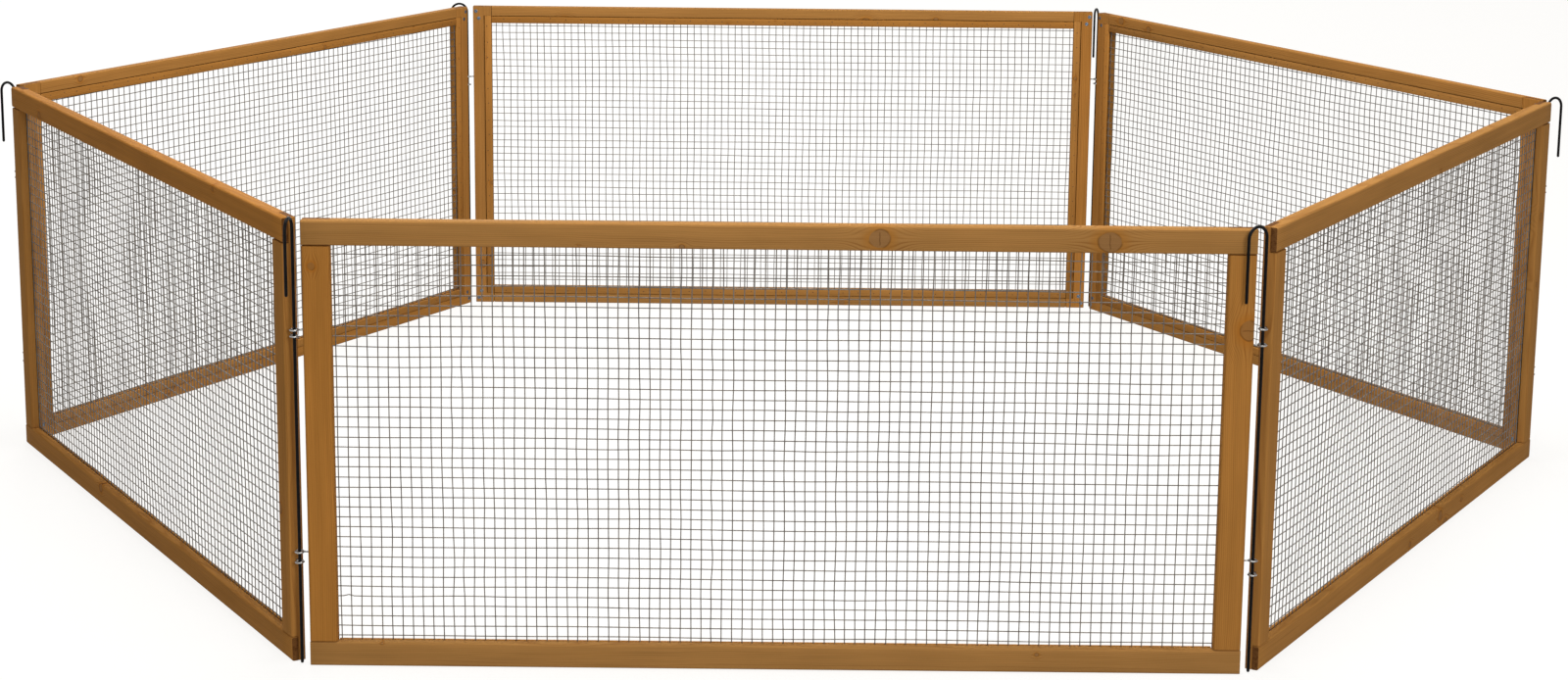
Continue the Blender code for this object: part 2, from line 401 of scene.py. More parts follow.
def add_node(tree, kind, inputs=(), output=0, **settings):
    """Adds a node, sets its properties, gives its inputs values or links, and gives one of its outputs.

    kind is the node's type, and its operation after a space if it has one. inputs is a list of the
    first inputs in their order, or a dictionary by name or number."""
    kind, _, operation = kind.partition(" ")
    node = tree.nodes.new("ShaderNode" + kind)
    if operation:
        node.operation = operation
    for name, value in settings.items():
        setattr(node, name, value)
    given = inputs if isinstance(inputs, dict) else dict(enumerate(inputs))
    for name, value in given.items():
        if isinstance(value, bpy.types.NodeSocket):
            tree.links.new(value, node.inputs[name])
        else:
            node.inputs[name].default_value = value
    return node.outputs[output]


def new_material(name, metallic, roughness):
    """A material with a Principled shader, its node tree and the shader."""
    made = bpy.data.materials.new(name)
    made.use_nodes = True
    shader = made.node_tree.nodes["Principled BSDF"]
    shader.inputs["Metallic"].default_value = metallic
    shader.inputs["Roughness"].default_value = roughness
    return made, made.node_tree, shader


# How dark the wood is through one year's growth, from spring to winter: place in the year, darkness
YEAR_DARKNESS = ((0.0, 0.25), (0.12, 0.02), (0.55, 0.12), (0.9, 1.0), (1.0, 0.25))

# A Map Range node that eases in and out. Its inputs are the value, where it starts and ends, and the
# results there.
SMOOTH = {"interpolation_type": "SMOOTHSTEP"}

# A Mix node of colours has its factor at input 0, the colours at 6 and 7, and its result at output 2


def stained_softwood(settings):
    """Planed pine or spruce under a honey-brown stain. The eye sees soft grain lines along the board
    that part round the knots, fine fibres, cloudy stain, and dark sawn ends.

    The grain is solid: rings round a pith line beside the board, in the board's own coordinates."""
    made, tree, shader = new_material("stained softwood", 0.0, 0.7)
    shader.inputs["Specular IOR Level"].default_value = 0.02
    add = partial(add_node, tree)
    place = add("Attribute", output="Vector", attribute_name="board_place")
    pith = add("Attribute", output="Vector", attribute_name="pith")
    knot = add("Attribute", output="Vector", attribute_name="nearest_knot")
    sawn_end = add("Attribute", output="Fac", attribute_name="end_grain")
    along, across, depth = add("SeparateXYZ", [place]).node.outputs
    pith_across, pith_depth, tone_and_painted_light = add("SeparateXYZ", [pith]).node.outputs
    knot_along, knot_across, knot_radius = add("SeparateXYZ", [knot]).node.outputs

    # Every board takes its own part of the noise
    far_shift = add("Math MULTIPLY", [tone_and_painted_light, 31.0])
    board_shift = add("CombineXYZ", [far_shift, tone_and_painted_light, tone_and_painted_light])
    shifted = add("VectorMath ADD", [place, board_shift])

    def board_noise(per_metre_along, per_metre_across, detail, roughness=0.5):
        """Noise with so many features per metre along and across the board."""
        scale = (per_metre_along, per_metre_across, per_metre_across)
        scaled = add("VectorMath MULTIPLY", [shifted, scale])
        inputs = {"Vector": scaled, "Scale": 1.0, "Detail": detail, "Roughness": roughness}
        return add("TexNoise", inputs)

    # Distance from the knot's middle, in knot radii. A knot is a little longer along the board, and
    # not quite round.
    past_knot = add("Math SUBTRACT", [along, knot_along])
    past_knot = add("Math MULTIPLY", [past_knot, 0.88])
    beside_knot = add("Math SUBTRACT", [across, knot_across])
    knot_size = add("Math MAXIMUM", [knot_radius, 1e-5])
    from_knot = add("CombineXYZ", [past_knot, beside_knot])
    knot_distance = add("VectorMath LENGTH", [from_knot], "Value")
    out_of_round = add("Math MULTIPLY_ADD", [board_noise(70, 70, 1), 0.3, 0.87])
    knot_radii = add("Math DIVIDE", [knot_distance, knot_size])
    knot_radii = add("Math MULTIPLY", [knot_radii, out_of_round])

    # The grain parts round a knot: distances across the board are squeezed near it. A slow wave keeps
    # the grain from running dead straight.
    squeeze = add("MapRange", [knot_radii, 0.9, 4.5, 0.22, 1.0], **SMOOTH)
    squeezed = add("Math MULTIPLY_ADD", [beside_knot, squeeze, knot_across])
    wave = add("Math SUBTRACT", [board_noise(3.0, 9.0, 2), 0.5])
    wave = add("Math MULTIPLY", [wave, 22 * MM])
    from_pith_across = add("Math SUBTRACT", [squeezed, pith_across])
    from_pith_across = add("Math ADD", [from_pith_across, wave])
    from_pith_depth = add("Math SUBTRACT", [depth, pith_depth])
    from_pith = add("CombineXYZ", [from_pith_across, from_pith_depth])
    ring_radius = add("VectorMath LENGTH", [from_pith], "Value")

    # Each year's growth darkens towards its winter, in some years more than in others, and most of all
    # beside a knot
    years = add("Math DIVIDE", [ring_radius, settings.ring_spacing])
    grain = add("ValToRGB", [add("Math FRACT", [years])])
    stops = grain.node.color_ramp.elements
    for _ in YEAR_DARKNESS[2:]:
        stops.new(0.5)
    for stop, (time, darkness) in zip(stops, YEAR_DARKNESS):
        stop.position = time
        stop.color = (darkness, darkness, darkness, 1.0)
    year = add("Math FLOOR", [years])
    strength = add("TexWhiteNoise", {"W": year}, "Value", noise_dimensions="1D")
    strength = add("Math MULTIPLY_ADD", [strength, 0.65, 0.3])
    grain = add("Math MULTIPLY", [grain, strength])
    near_knot = add("MapRange", [knot_radii, 1.2, 4.0, 1.9, 1.0], **SMOOTH)
    grain = add("Math MULTIPLY", [grain, near_knot], use_clamp=True)
    grain_share = add("Math MULTIPLY", [grain, 0.75])
    colours = {0: grain_share, 6: settings.early_colour, 7: settings.late_colour}
    wood = add("Mix", colours, 2, data_type="RGBA")

    # Light and dark of the stain: fibres, longer streaks, clouds, and the whole board's tone, which on
    # the listed boards is partly painted light and shade. Fibres are about a millimetre wide, wider than
    # real ones, so that they show.
    fibres = board_noise(11.0, 900.0, 4, 0.65)
    streaks = board_noise(2.2, 150.0, 2)
    clouds = board_noise(7.0, 26.0, 2)
    shade = add("Math MULTIPLY_ADD", [fibres, 0.5, 0.75])
    for value, share, base in ((streaks, 0.26, 0.87), (clouds, 0.34, 0.83), (tone_and_painted_light, 0.05, 1.0)):
        factor = add("Math MULTIPLY_ADD", [value, share, base])
        shade = add("Math MULTIPLY", [shade, factor])

    # A knot is orange wood round a brown heart with fine rings
    halo = add("MapRange", [knot_radii, 1.0, 2.1, 0.75, 0.0], **SMOOTH)
    wood = add("Mix", {0: halo, 6: wood, 7: settings.halo_colour}, 2, data_type="RGBA")
    heart_rings = add("Math MULTIPLY", [knot_distance, 1 / (1.1 * MM)])
    heart_rings = add("Math FRACT", [heart_rings])
    heart_rings = add("Math MULTIPLY", [heart_rings, 0.18])
    heart = {0: heart_rings, 6: settings.knot_colour, 7: settings.rim_colour}
    heart = add("Mix", heart, 2, data_type="RGBA")
    in_heart = add("MapRange", [knot_radii, 0.93, 1.0, 1.0, 0.0], **SMOOTH)
    wood = add("Mix", {0: in_heart, 6: wood, 7: heart}, 2, data_type="RGBA")

    # It has a dark rim that comes and goes, and a big one has a bent crack across the board
    rim = add("MapRange", [knot_radii, 0.84, 0.96], **SMOOTH)
    for part in ([knot_radii, 0.98, 1.12, 1.0, 0.0], [board_noise(75, 75, 0), 0.3, 0.55]):
        rim = add("Math MULTIPLY", [rim, add("MapRange", part, **SMOOTH)])
    bend = add("Math MULTIPLY_ADD", [board_noise(20, 90, 1), 3 * MM, -1.5 * MM])
    from_crack = add("Math ADD", [past_knot, bend])
    from_crack = add("Math ABSOLUTE", [from_crack])
    crack = add("MapRange", [from_crack, 0.3 * MM, 1.0 * MM, 1.0, 0.0], **SMOOTH)
    for part in ([knot_radii, 0.55, 0.85, 1.0, 0.0], [knot_size, 6 * MM, 9 * MM]):
        crack = add("Math MULTIPLY", [crack, add("MapRange", part, **SMOOTH)])
    dark = add("Math MAXIMUM", [rim, crack])
    darkest = add("MapRange", [knot_size, 5 * MM, 10 * MM, 0.9, 0.5], **SMOOTH)
    dark = add("Math MULTIPLY", [dark, darkest])
    wood = add("Mix", {0: dark, 6: wood, 7: settings.rim_colour}, 2, data_type="RGBA")

    # Sawn ends: the rings stand out, and rough patches have soaked up more stain
    soaked = add("MapRange", [board_noise(240, 240, 2), 0.42, 0.62, 0.0, 0.6], **SMOOTH)
    end_dark = add("Math MULTIPLY_ADD", [grain, 0.6, soaked], use_clamp=True)
    end_colours = {0: end_dark, 6: settings.end_colour, 7: settings.rim_colour}
    end_wood = add("Mix", end_colours, 2, data_type="RGBA")
    wood = add("Mix", {0: sawn_end, 6: wood, 7: end_wood}, 2, data_type="RGBA")

    # A board of high tone is more orange: it has less green and much less blue. On the listed boards
    # the tone is partly painted light and shade.
    shades = [shade]
    for share, base in ((-0.1, 0.98), (-0.34, 0.93)):
        factor = add("Math MULTIPLY_ADD", [tone_and_painted_light, share, base])
        shades.append(add("Math MULTIPLY", [shade, factor]))
    stain = add("CombineColor", shades)
    stained = add("Mix", {0: 1.0, 6: wood, 7: stain}, 2, data_type="RGBA", blend_type="MULTIPLY")

    # Fibres and grain lines stand up a little, and the fibres' tops are smoother
    roughness = add("Math MULTIPLY_ADD", [fibres, 0.25, 0.55])
    height = add("Math MULTIPLY_ADD", [grain, 0.5, fibres])
    bump = add("Bump", {"Strength": 0.5, "Distance": 0.12 * MM, "Height": height})
    for value, socket in ((stained, "Base Color"), (roughness, "Roughness"), (bump, "Normal")):
        tree.links.new(value, shader.inputs[socket])
    return made


def cloudy_coating(name, metallic, roughness, colour, dark_colour, patch, bump_height):
    """Zinc or paint with cloudy patches: two colours, an uneven shine, and a slight unevenness of its
    surface. Gives the material and its shader."""
    made, tree, shader = new_material(name, metallic, roughness)
    place = add_node(tree, "TexCoord", output="Object")
    inputs = {"Vector": place, "Scale": 1 / (patch * MM), "Detail": 3.0, "Roughness": 0.55}
    clouds = add_node(tree, "TexNoise", inputs)
    patches = add_node(tree, "MapRange", [clouds, 0.35, 0.65], **SMOOTH)
    colours = add_node(tree, "Mix", {0: patches, 6: dark_colour, 7: colour}, 2, data_type="RGBA")
    shine = add_node(tree, "Math MULTIPLY_ADD", [clouds, 0.2, roughness - 0.1])
    bump = add_node(tree, "Bump", {"Strength": 0.4, "Distance": bump_height * MM, "Height": clouds})
    for value, socket in ((colours, "Base Color"), (shine, "Roughness"), (bump, "Normal")):
        tree.links.new(value, shader.inputs[socket])
    return made, shader


def finish_for(name):
    """The material of that name, made on first use."""
    if name in bpy.data.materials:
        return bpy.data.materials[name]
    scene = bpy.context.scene
    net = scene.rabbit_run_mesh
    fittings = scene.rabbit_run_fittings
    if name == "stained softwood":
        return stained_softwood(scene.rabbit_run_wood)

    # Metallic, roughness, colour, dark colour, and in millimetres the size of patches and height of bumps
    coatings = {
        # Dull grey zinc with darker patches, a few centimetres long
        "galvanised wire": (0.3, 0.5, net.colour, net.dark_colour, 30, 0.05),
        # Plain bright zinc, slightly cloudy
        "zinc-plated steel": (1.0, 0.32, fittings.zinc_colour, linear("#7d7c7b"), 2, 0.02),
        # Zinc with the blue tint of its last bath, slightly cloudy
        "blue zinc-plated steel": (1.0, 0.35, fittings.screw_colour, linear("#4c5663"), 2, 0.02),
        # Small steel heads, dark where the stain has run over them
        "nail steel": (0.6, 0.5, fittings.nail_colour, linear("#452f1d"), 1, 0.02),
        # Satin black paint with the slight unevenness of a dipped coat
        "black painted steel": (0.0, 0.36, fittings.rod_colour, linear("#151414"), 9, 0.06),
    }
    made, shader = cloudy_coating(name, *coatings[name])
    if name == "black painted steel":
        shader.inputs["Specular IOR Level"].default_value = 0.06
    return made


def inset_ends(outline, easing):
    """The outline drawn in by the easing, for a board's sawn end."""
    low = outline.min(axis=0) + easing
    high = outline.max(axis=0) - easing
    return np.clip(outline, low, high)


def spread_knots(draws, start, end, width, most):
    """A random few knots between start and end, smaller on a narrow board: along, across and radius,
    in metres."""
    count = int(draws.integers(0, most + 1))
    along = np.sort(draws.uniform(start + KNOT_FROM_END, end - KNOT_FROM_END, count))
    across = draws.uniform(0.1, 0.9, count) * width
    radius = draws.uniform(1.8, 8.0, count) * MM * min(1.0, width / NARROW_BOARD)
    return list(zip(along, across, radius))


def between_knots(knots, start, end):
    """The places midway between neighbouring knots that lie from start to end."""
    along = sorted(knot[0] for knot in knots)
    return [(a + b) / 2 for a, b in zip(along, along[1:]) if start < (a + b) / 2 < end]


def grain_attributes(mesh, draws, knots, half_length, tone_and_painted_light):
    """Stores what the wood's grain reads: each face's nearest knot, the board's pith line and tone, which
    is partly painted light and shade on the listed boards, and whether the face is a sawn end."""
    count = len(mesh.polygons)
    place = np.zeros(len(mesh.vertices) * 3, np.float32)
    mesh.attributes["board_place"].data.foreach_get("vector", place)
    along_board = place[::3]
    along = np.array([along_board[list(face.vertices)].mean() for face in mesh.polygons])
    spread = np.array([np.ptp(along_board[list(face.vertices)]) for face in mesh.polygons])
    ends = (np.abs(np.abs(along) - half_length) < SAME_PLACE) & (spread < SAME_PLACE)
    table = np.array(knots or [FAR_KNOT], float)
    nearest = table[np.abs(along[:, None] - table[None, :, 0]).argmin(axis=1)]
    pith_across = draws.choice((-1, 1)) * draws.uniform(*PITH_ASIDE)
    pith = np.tile((pith_across, draws.uniform(-PITH_DEPTH, PITH_DEPTH), tone_and_painted_light), (count, 1))
    for name, values in (("nearest_knot", nearest), ("pith", pith)):
        stored = mesh.attributes.new(name, "FLOAT_VECTOR", "FACE")
        stored.data.foreach_set("vector", values.astype(np.float32).ravel())
    stored = mesh.attributes.new("end_grain", "FLOAT", "FACE")
    stored.data.foreach_set("value", ends.astype(np.float32))


def board_to_panel(place, edge, inset):
    """Board coordinates to panel frame, for a board that runs along an edge of the panel and inset from
    it."""
    along, across, depth = place.T
    inward = inset + across
    if edge in SIDES:
        return np.stack((SIDES[edge] * (HALF_WIDTH - inward), depth, along), axis=1)
    height = PANEL_HEIGHT - inward if edge == "top" else inward
    return np.stack((along, depth, height), axis=1)


def board_mesh(name, sections, edge, inset, panel, draws, knots, tone_and_painted_light=None):
    """A board lofted through its sections, each a place along the board and an outline of across and
    depth. Point (i, k) is (along_i, outline_i[k]). Two sections at one place make a shoulder."""
    along = np.array([section[0] for section in sections])
    outlines = np.array([section[1] for section in sections])
    rows, ring = outlines.shape[:2]
    place = np.concatenate((np.repeat(along, ring)[:, None], outlines.reshape(-1, 2)), axis=1)
    points = from_panel(board_to_panel(place, edge, inset), panel)
    middle = (along[0] + along[-1]) / 2
    place[:, 0] -= middle
    mesh = make_mesh(name, points, tube_faces(rows, ring), place)
    tidy_mesh(mesh, sorted({a - middle for a, b in zip(along, along[1:]) if b - a < SAME_PLACE}))
    centred = [(a - middle, across, radius) for a, across, radius in knots]
    # A listed tone is partly painted light and shade; the other boards draw theirs at random
    tone_and_painted_light = draws.uniform(-0.5, 0.5) if tone_and_painted_light is None else tone_and_painted_light
    grain_attributes(mesh, draws, centred, (along[-1] - along[0]) / 2, tone_and_painted_light)
    return mesh


def board_outline(width, settings):
    """Across and depth of a frame board: rounded on its outer face, with the rebate at the opening."""
    half = THICKNESS / 2
    inner = width - REBATE_WIDTH
    outer_face = ((0, -half), (width, -half))
    lip = ((width, LIP_DEPTH), (inner, LIP_DEPTH), (inner, half))
    radii = (settings.outer_rounding, settings.outer_rounding, 0, 0, 0, settings.inner_rounding)
    return rounded_outline((*outer_face, *lip, (0, half)), radii)


def rail_sections(settings, knots):
    """A rail: the full section between the stiles, and only its outer half where it laps over them."""
    full = board_outline(RAIL_HEIGHT, settings)
    lap = full.copy()
    lap[:, 1] = np.minimum(lap[:, 1], -LAP_GAP / 2)
    eased = inset_ends(lap, END_EASING)
    shoulder = HALF_WIDTH - STILE_WIDTH - SHOULDER_GAP
    right = [(shoulder, full), (shoulder, lap), (HALF_WIDTH - END_EASING, lap), (HALF_WIDTH, eased)]
    left = [(-along, outline) for along, outline in reversed(right)]
    return left + [(along, full) for along in between_knots(knots, -shoulder, shoulder)] + right


def stile_sections(settings, knots):
    """A stile: the full section between the rails, and only its inner half behind them, where the
    rebate ends in line with the rails' rebates."""
    full = board_outline(STILE_WIDTH, settings)
    lap = full.copy()
    lap[:, 1] = np.maximum(lap[:, 1], LAP_GAP / 2)
    rebate_corner = np.isclose(full, (STILE_WIDTH - REBATE_WIDTH, LIP_DEPTH)).all(axis=1)
    whole = lap.copy()
    whole[rebate_corner] = (STILE_WIDTH, THICKNESS / 2)
    eased = inset_ends(whole, END_EASING)
    rebate_end = RAIL_HEIGHT - REBATE_WIDTH
    shoulder = RAIL_HEIGHT + SHOULDER_GAP
    lower = [(0, eased), (END_EASING, whole), (rebate_end, whole)]
    lower += [(rebate_end, lap), (shoulder, lap), (shoulder, full)]
    upper = [(PANEL_HEIGHT - along, outline) for along, outline in reversed(lower)]
    breaks = between_knots(knots, shoulder, PANEL_HEIGHT - shoulder)
    return lower + [(along, full) for along in breaks] + upper


def batten_sections(settings, knots, gap, start, end):
    """A batten from start to end: a rounded strip that leaves a gap to the rebate's wall."""
    half = THICKNESS / 2
    radius = settings.batten_rounding
    corners = ((gap, BATTEN_DEPTH), (REBATE_WIDTH, BATTEN_DEPTH), (REBATE_WIDTH, half), (gap, half))
    outline = rounded_outline(corners, (0, radius, radius, radius), steps=3)
    eased = inset_ends(outline, END_EASING / 2)
    breaks = [(along, outline) for along in between_knots(knots, start, end)]
    first = [(start, eased), (start + END_EASING / 2, outline)]
    return first + breaks + [(end - END_EASING / 2, outline), (end, eased)]


class RABBITRUN_OT_frame_boards(bpy.types.Operator):
    """Make the rails and stiles of all six panels"""

    bl_idname = "rabbit_run.frame_boards"
    bl_label = "Rails and stiles"

    def execute(self, context):
        settings = context.scene.rabbit_run_wood
        for number, panel in enumerate(PANELS):
            body = panel + "_panel"
            for part, seed in BOARD_SEEDS.items():
                edge, kind = part.split("_")
                draws = np.random.default_rng([number, *seed])
                if panel == "front":
                    knots = (np.array(FRONT_KNOTS[part]) * MM).tolist()
                elif kind == "rail":
                    knots = spread_knots(draws, -HALF_WIDTH, HALF_WIDTH, RAIL_HEIGHT, most=4)
                else:
                    knots = spread_knots(draws, 0, PANEL_HEIGHT, STILE_WIDTH, most=2)
                sections = (rail_sections if kind == "rail" else stile_sections)(settings, knots)
                tone_and_painted_light = BOARD_TONES_AND_PAINTED_LIGHT.get(f"{panel}_{part}")
                name = f"{panel}_{part}_board"
                mesh = board_mesh(name, sections, edge, 0, panel, draws, knots, tone_and_painted_light)
                make_piece(mesh, "stained softwood", body, [f"{body}_{part}"])
        return {"FINISHED"}


class RABBITRUN_OT_battens(bpy.types.Operator):
    """Make the strips that hold the mesh in the rebates of all six panels"""

    bl_idname = "rabbit_run.battens"
    bl_label = "Battens"

    def execute(self, context):
        settings = context.scene.rabbit_run_wood
        upright_start = RAIL_HEIGHT - REBATE_WIDTH + LAP_GAP
        level_end = HALF_WIDTH - STILE_WIDTH - SHOULDER_GAP
        for number, panel in enumerate(PANELS):
            for edge_number, (edge, gap) in enumerate(BATTEN_GAPS.items()):
                draws = np.random.default_rng([number, BATTEN_SEED, edge_number])
                if edge in SIDES:
                    start, end = upright_start, PANEL_HEIGHT - upright_start
                    inset = STILE_WIDTH - REBATE_WIDTH
                else:
                    start, end = -level_end, level_end
                    inset = RAIL_HEIGHT - REBATE_WIDTH
                knots = spread_knots(draws, start, end, REBATE_WIDTH, most=3)
                sections = batten_sections(settings, knots, gap, start, end)
                name = f"{panel}_{edge}_batten"
                mesh = board_mesh(name, sections, edge, inset, panel, draws, knots)
                make_piece(mesh, "stained softwood", panel + "_panel")
        return {"FINISHED"}


def slow_waves(draws, rows, length, places, amplitude, waves=5, shortest=0.12, longest=0.6):
    """A smooth random line of about the given amplitude for each of rows wires, at the given places: the
    sum of sine waves of random start and size, whose lengths are random shares of the given length."""
    wave_length = draws.uniform(shortest, longest, (rows, waves, 1)) * length
    start = draws.uniform(0, math.tau, (rows, waves, 1))
    size = draws.normal(0, 1, (rows, waves, 1))
    lines = size * np.sin(math.tau * places[None, None, :] / wave_length + start)
    return amplitude * lines.sum(axis=1) / math.sqrt(waves / 2)


def net_bulge(x, z, bulge, draws):
    """How far the net stands out of its plane: half the bulge times the sum of a few products of a sine
    along x and a sine along z, falling to nothing where the frame holds the net."""
    held_x = np.clip((NET_HALF_WIDTH - np.abs(x)) / (80 * MM) - 0.2, 0, 1)
    held_z = np.clip(np.minimum(z - NET_BOTTOM, NET_TOP - z) / (60 * MM) - 0.25, 0, 1)
    lengths = draws.uniform(0.2, 0.6, (BULGE_WAVES, 2))
    starts = draws.uniform(0, math.tau, (BULGE_WAVES, 2))
    total = 0
    for (length_x, length_z), (start_x, start_z) in zip(lengths, starts):
        along_x = np.sin(math.tau * x / length_x + start_x)
        total = total + along_x * np.sin(math.tau * z / length_z + start_z)
    return bulge * held_x * held_z * total / 2


def wires_between(first, spacing, low, high):
    """The places of wires one spacing apart, one of them at first, that lie between low and high."""
    counts = np.arange(math.ceil((low - first) / spacing), math.floor((high - first) / spacing) + 1)
    return first + spacing * counts


def wire_bundle(paths, across_axes, diameter, sides=6):
    """Round wires side by side. Point (w, i, k) is paths[w, i] plus the radius times (cos a_k, sin a_k)
    on the two axes square to the wires. Returns the points and the faces."""
    wires, rows = paths.shape[:2]
    angle = np.linspace(0, math.tau, sides, endpoint=False)[:, None]
    ring = diameter / 2 * (np.cos(angle) * across_axes[0] + np.sin(angle) * across_axes[1])
    points = (paths[:, :, None, :] + ring).reshape(-1, 3)
    return points, repeated_faces(tube_faces(rows, sides), rows * sides, wires)


class RABBITRUN_OT_wire_mesh(bpy.types.Operator):
    """Make the welded wire mesh of all six panels"""

    bl_idname = "rabbit_run.wire_mesh"
    bl_label = "Welded mesh"

    def execute(self, context):
        settings = context.scene.rabbit_run_mesh
        cell = settings.cell
        wire = settings.wire
        wave = settings.waviness
        first_x = STILE_WIDTH - HALF_WIDTH + FIRST_UPRIGHT
        first_z = RAIL_HEIGHT + FIRST_LEVEL
        half_width = NET_HALF_WIDTH - wire
        touch = WELDED_SHARE * wire
        axes = np.eye(3)
        for number, panel in enumerate(PANELS):
            draws = np.random.default_rng([number, NET_SEED])
            bulge_seed = [number, BULGE_SEED]
            shift = np.zeros(2) if panel == "front" else draws.uniform(-0.5, 0.5, 2) * cell
            xs = wires_between(first_x + shift[0], cell, -half_width, half_width)
            zs = wires_between(first_z + shift[1], cell, NET_BOTTOM + wire, NET_TOP - wire)
            along_z = np.linspace(NET_BOTTOM, NET_TOP, 2 * len(zs) + 1)
            along_x = np.linspace(-NET_HALF_WIDTH, NET_HALF_WIDTH, 2 * len(xs) + 1)

            # Neighbouring wires share a part of their waves. The upright wires lie on the outside, and
            # both kinds sink a little into each other where they are welded.
            shared = slow_waves(draws, 1, UPRIGHT_WAVE, along_z, wave, **SHARED_WAVES)
            x = xs[:, None] + shared + slow_waves(draws, len(xs), UPRIGHT_WAVE, along_z, wave)
            z = np.broadcast_to(along_z, x.shape)
            y = NET_DEPTH - touch + net_bulge(x, z, settings.bulge, np.random.default_rng(bulge_seed))
            uprights = np.stack((x, y, z), axis=-1)
            shared = slow_waves(draws, 1, LEVEL_WAVE, along_x, 1.5 * wave, **SHARED_WAVES)
            z = zs[:, None] + shared + slow_waves(draws, len(zs), LEVEL_WAVE, along_x, wave)
            if panel == "front":
                z[KINKED_WIRE] += KINK_HEIGHT * np.exp(-(((along_x - KINK_PLACE) / KINK_WIDTH) ** 2))
            x = np.broadcast_to(along_x, z.shape)
            y = NET_DEPTH + touch + net_bulge(x, z, settings.bulge, np.random.default_rng(bulge_seed))
            levels = np.stack((x, y, z), axis=-1)

            upright_points, upright_faces = wire_bundle(uprights, (axes[0], axes[1]), wire)
            level_points, level_faces = wire_bundle(levels, (axes[1], axes[2]), wire)
            offset = len(upright_points)
            faces = upright_faces + [[corner + offset for corner in face] for face in level_faces]
            points = from_panel(np.concatenate((upright_points, level_points)), panel)
            mesh = make_mesh(panel + "_welded_mesh", points, faces)
            body = panel + "_panel"
            make_piece(mesh, "galvanised wire", body, [body + "_wire_mesh"], smooth_below=75)
        return {"FINISHED"}


def turned_mesh(profile, places, sides, cross_arm=0.0, cross_depth=0.0):
    """Copies of one turned shape on a panel's inner face. Point (i, k) is the profile's radius r_i at
    angle a_k, and its height h_i. A cross recess takes cross_depth times the root of (1 - r / arm) from
    the height of a head's points that lie in one of the cross's arms."""
    profile = np.array(profile, float)
    angle = np.linspace(0, math.tau, sides, endpoint=False)
    radius = profile[:, 0][:, None]
    across = radius * np.cos(angle)
    up = radius * np.sin(angle)
    height = np.broadcast_to(profile[:, 1][:, None], across.shape).copy()
    if cross_arm > 0:
        arm_width = 0.42 * cross_arm
        from_arm = np.minimum(np.abs(across), np.abs(up))
        in_arm = np.clip((arm_width - from_arm) / (0.35 * arm_width), 0, 1)
        is_head = (np.arange(len(profile)) < HEAD_ROWS)[:, None]
        height -= cross_depth * in_arm * np.clip(1 - radius / cross_arm, 0, 1) ** 0.5 * is_head
    shape = np.stack((across, height, up), axis=-1).reshape(-1, 3)
    points = (np.asarray(places)[:, None, :] + shape[None]).reshape(-1, 3)
    return points, repeated_faces(tube_faces(len(profile), sides), len(shape), len(places))


class RABBITRUN_OT_batten_nails(bpy.types.Operator):
    """Make the nails that hold the battens of all six panels"""

    bl_idname = "rabbit_run.batten_nails"
    bl_label = "Batten nails"

    def execute(self, context):
        settings = context.scene.rabbit_run_fittings
        head = settings.nail_head / 2

        # Radius and height, from the middle of the head to the point
        profile = ((0, 0.18 * MM), (0.7 * head, 0.16 * MM), (head, 0.02 * MM))
        profile += ((0.45 * head, -0.5 * MM), (0, -3 * MM))

        # A row along the middle of each batten
        level_end = HALF_WIDTH - NAIL_FROM_END
        level = np.arange(-level_end, level_end + NAIL_ROW_SPARE, settings.nail_spacing)
        upright_end = PANEL_HEIGHT - RAIL_HEIGHT
        upright = np.arange(RAIL_HEIGHT, upright_end + 2 * NAIL_ROW_SPARE, settings.nail_spacing)
        low_z = RAIL_HEIGHT - REBATE_WIDTH / 2
        side_x = HALF_WIDTH - STILE_WIDTH + REBATE_WIDTH / 2
        rows = [(x, z) for z in (low_z, PANEL_HEIGHT - low_z) for x in level]
        rows += [(side * side_x, z) for side in SIDES.values() for z in upright]
        for number, panel in enumerate(PANELS):
            draws = np.random.default_rng([number, NAIL_SEED])
            x, z = (np.array(rows) + draws.normal(0, NAIL_STRAY, (len(rows), 2))).T
            places = np.stack((x, np.full_like(x, THICKNESS / 2), z), axis=1)
            points, faces = turned_mesh(profile, places, sides=8)
            mesh = make_mesh(panel + "_batten_nails", from_panel(points, panel), faces)
            tidy_mesh(mesh)
            make_piece(mesh, "nail steel", panel + "_panel")
        return {"FINISHED"}


class RABBITRUN_OT_corner_screws(bpy.types.Operator):
    """Make the two screws at each corner of all six panels"""

    bl_idname = "rabbit_run.corner_screws"
    bl_label = "Corner screws"

    def execute(self, context):
        settings = context.scene.rabbit_run_fittings
        head = settings.screw_head / 2

        # Radius and height, over the crowned head and down to the point
        crown = [(head * share, CROWN_HEIGHT * (1 - share**4)) for share in np.linspace(0, 1, HEAD_ROWS)]
        profile = crown + [(head, 0), (0.45 * head, -2.4 * MM), (0.4 * head, -13 * MM), (0, -15.5 * MM)]
        places = []
        for side in SIDES.values():
            for is_top in (False, True):
                for across, from_end in SCREW_PLACES:
                    height = PANEL_HEIGHT - from_end if is_top else from_end
                    places.append((side * (HALF_WIDTH - across), THICKNESS / 2, height))
        points, faces = turned_mesh(profile, places, 32, cross_arm=0.62 * head, cross_depth=0.5 * MM)
        for panel in PANELS:
            mesh = make_mesh(panel + "_corner_screws", from_panel(points, panel), faces)
            tidy_mesh(mesh)
            make_piece(mesh, "blue zinc-plated steel", panel + "_panel")
        return {"FINISHED"}


